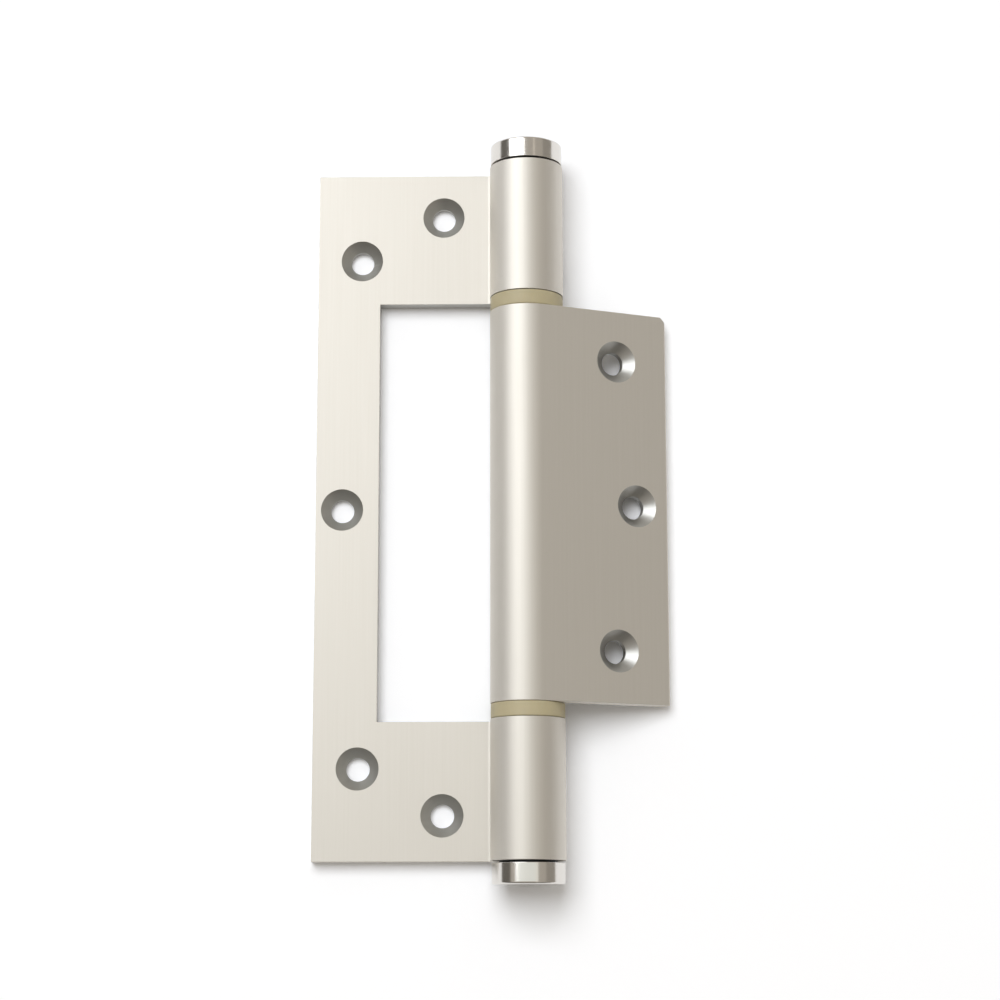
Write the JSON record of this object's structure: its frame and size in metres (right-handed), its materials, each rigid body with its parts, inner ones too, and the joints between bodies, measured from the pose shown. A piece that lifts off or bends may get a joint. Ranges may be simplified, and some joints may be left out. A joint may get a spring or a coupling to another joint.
{
  "type": "spring hinge",
  "caption": "Butt spring hinge: a windowed frame leaf, a smaller door leaf that nests in it, nylon flange bushes, polished end caps and a torsion spring inside the barrel.",
  "frame": {"origin": "middle of the open hinge's footprint, on the plane of the frame leaf's back", "axes": "+Y along the pin line towards the tension end, +Z out of the frame leaf's countersunk face, +X towards the open door leaf"},
  "size_m": [0.091, 0.1918, 0.019],
  "materials": {
    "anodised_aluminium": "satin silver anodised extrusion",
    "polished_cap": "mirror polished",
    "nylon": "moulded natural nylon",
    "turned_steel": "turned, zinc plated",
    "black_screw": "black oxide",
    "spring_wire": "oil tempered wire"
  },
  "bodies": {
    "frame": {"frame_leaf": "anodised_aluminium", "upper_cap": "polished_cap", "lower_cap": "polished_cap", "pivot_spindle": "turned_steel", "tension_lock_screw": "black_screw", "pivot_lock_screw": "black_screw"},
    "door": {"door_leaf": "anodised_aluminium", "upper_flange_bush": "nylon", "lower_flange_bush": "nylon", "spring_anchor": "turned_steel", "anchor_screw": "black_screw", "torsion_spring": "spring_wire"},
    "tension": {"tension_spindle": "turned_steel", "spring_hub": "turned_steel"}
  },
  "joints": [
    {"name": "door_swing", "type": "hinge", "parent": "frame", "child": "door", "pos_m": [0.00923, 0, 0.0095], "axis": [0, -1, 0], "range_deg": [0, 204.28], "deforming": ["torsion_spring"]},
    {"name": "tension_turn", "type": "hinge", "parent": "frame", "child": "tension", "pos_m": [0.00923, 0.072, 0.0095], "axis": [0, 1, 0], "range_deg": [0, 270], "deforming": ["torsion_spring"]}
  ]
}
